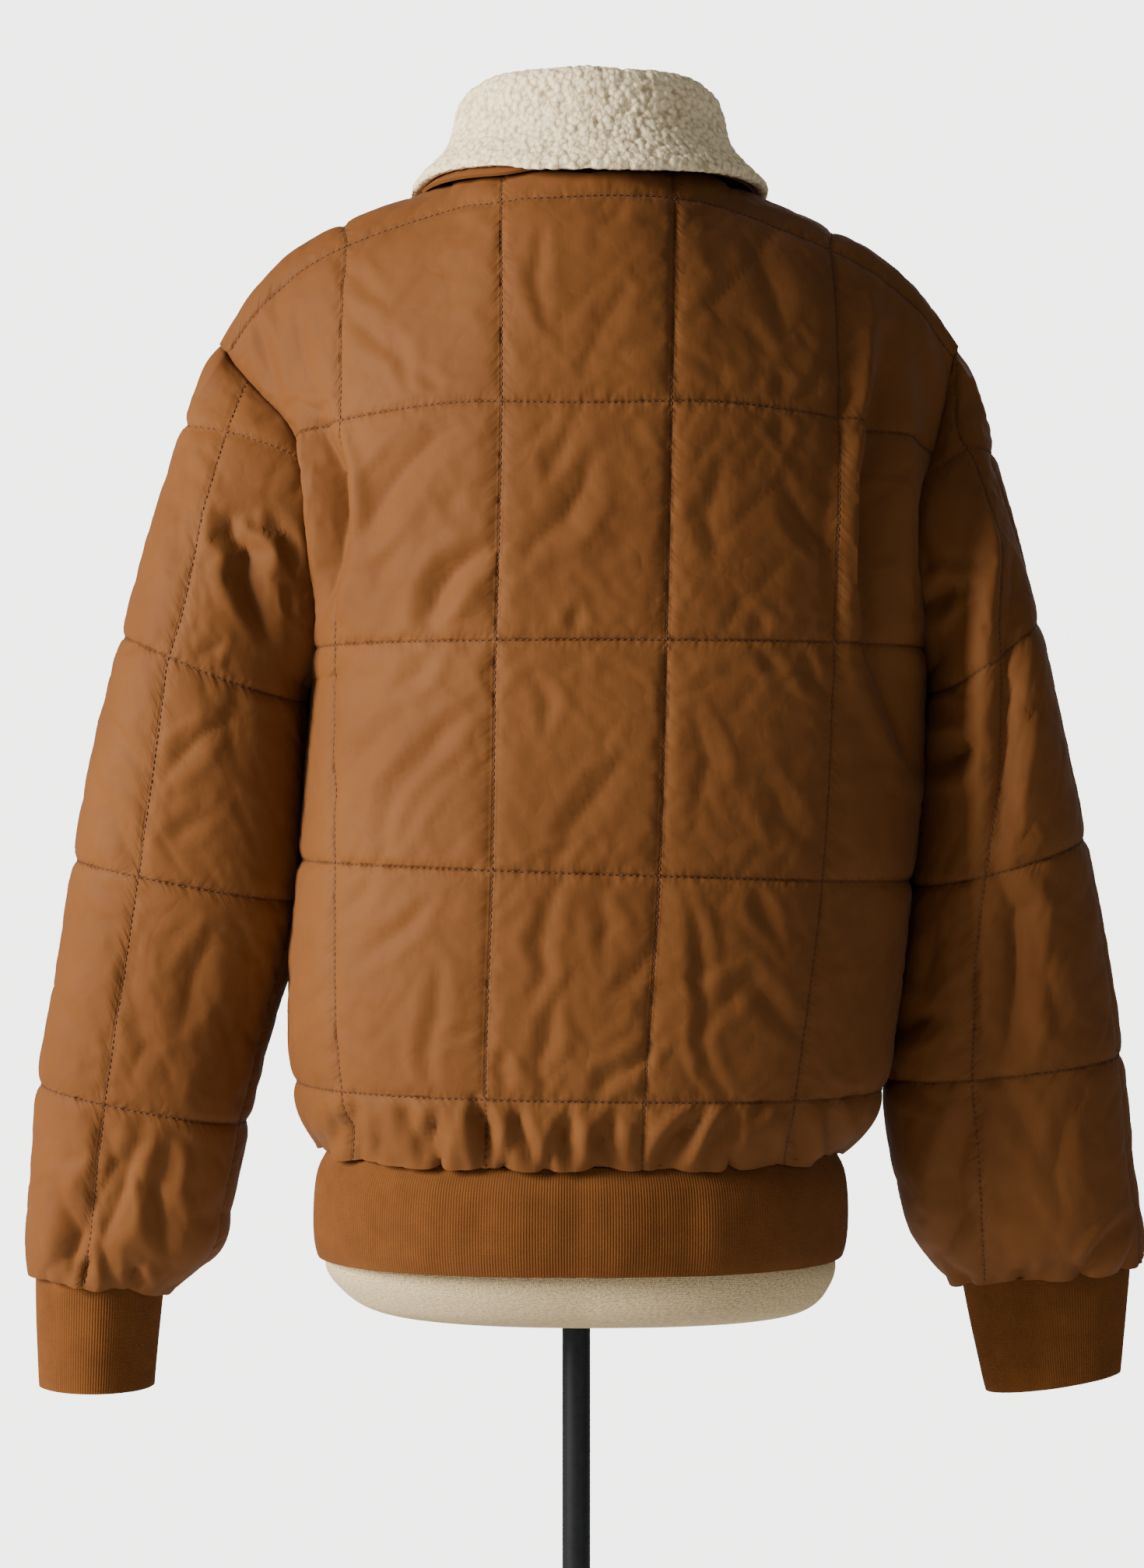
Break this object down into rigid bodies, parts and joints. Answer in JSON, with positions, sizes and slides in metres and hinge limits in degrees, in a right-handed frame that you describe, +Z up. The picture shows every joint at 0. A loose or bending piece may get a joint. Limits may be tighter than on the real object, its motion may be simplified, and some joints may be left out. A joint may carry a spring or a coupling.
{
  "type": "padded jacket with fleece collar, on a dress form with a stand",
  "caption": "Quilted padded jacket with a fold-over fleece collar, rib-knit hem and cuffs, zipped up on a limbless linen-covered dress form with a pole and round base.",
  "frame": {"origin": "centre of the stand base's underside, on the floor and on the pole's axis", "axes": "+Z up along the pole; -Y is the way the wearer faces, so the pictured back faces +Y; +X is the wearer's left"},
  "size_m": [0.7102, 0.36, 1.557],
  "materials": {
    "shell_cloth": "caramel-brown woven shell, slight sheen",
    "rib_knit": "brown rib knit, matt",
    "fleece": "cream curly pile",
    "linen": "oatmeal linen",
    "stand_metal": "satin black",
    "zip_metal": "antique brass"
  },
  "bodies": {
    "jacket_on_form": {"back": "shell_cloth", "front_left": "shell_cloth", "front_right": "shell_cloth", "sleeve_left": "shell_cloth", "sleeve_right": "shell_cloth", "cuff_left": "rib_knit", "cuff_right": "rib_knit", "zip_tape_left": "rib_knit", "zip_tape_right": "rib_knit", "hem_rib": "rib_knit", "collar_fleece": "fleece", "undercollar": "shell_cloth", "zip_slider": "zip_metal", "form_torso": "linen", "stand_pole": "stand_metal", "stand_socket": "stand_metal", "stand_base": "stand_metal"},
    "pull_tab": {"zip_pull": "zip_metal"}
  },
  "joints": [
    {"name": "zip_pull_hinge", "type": "hinge", "parent": "jacket_on_form", "child": "pull_tab", "pos_m": [-0.00716, -0.12694, 1.38739], "axis": [-1, 0, 0], "range_deg": [0, 140]}
  ]
}
